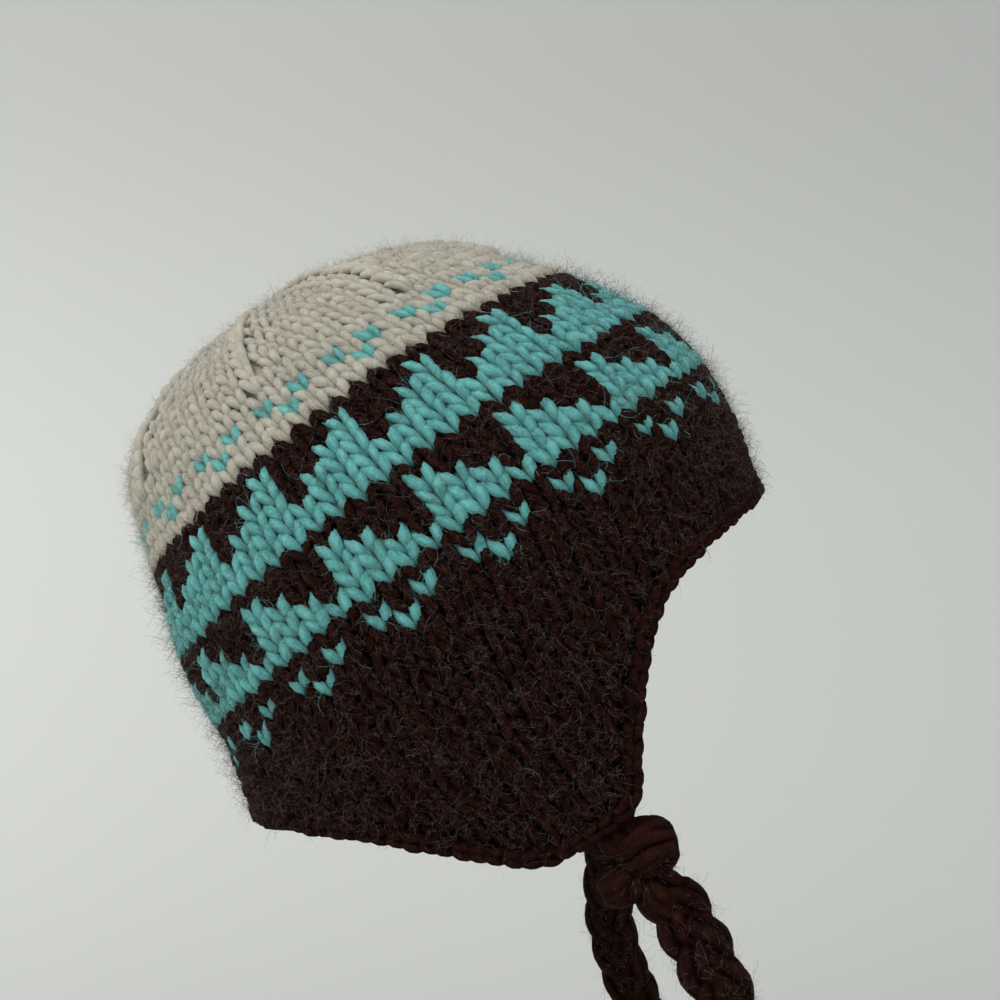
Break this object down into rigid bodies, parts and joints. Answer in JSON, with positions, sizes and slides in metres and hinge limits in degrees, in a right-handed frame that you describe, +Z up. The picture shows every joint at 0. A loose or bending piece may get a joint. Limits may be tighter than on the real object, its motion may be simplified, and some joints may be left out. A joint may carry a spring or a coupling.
{
  "type": "chullo hat",
  "caption": "Knitted wool hat with a cream crown, a stepped turquoise and brown band, ear flaps and braided ties, in the shape it has on a head.",
  "frame": {"origin": "the point inside the crown that rests on the top of the wearer's head", "axes": "+Z up, -Y the way the wearer faces, -X the wearer's right ear; the hat's own axis leans back by 36.9 degrees"},
  "size_m": [0.166, 0.2083, 0.4339],
  "materials": {
    "cream_wool": "undyed cream wool, stocking stitch, fuzzy",
    "pattern_wool": "turquoise and dark brown wool in a stranded pattern of steps, fuzzy",
    "brown_wool": "dark brown wool, stocking stitch, fuzzy"
  },
  "bodies": {
    "root": {"crown": "cream_wool", "pattern_band": "pattern_wool", "lower_band": "brown_wool", "ear_flap_right": "brown_wool", "ear_flap_left": "brown_wool", "edge_border": "brown_wool", "flap_knot_right": "brown_wool", "flap_knot_left": "brown_wool", "tie_braid_right": "brown_wool", "tie_braid_left": "brown_wool", "end_knot_right": "brown_wool", "end_knot_left": "brown_wool", "tie_tuft_right": "brown_wool", "tie_tuft_left": "brown_wool"}
  },
  "joints": []
}
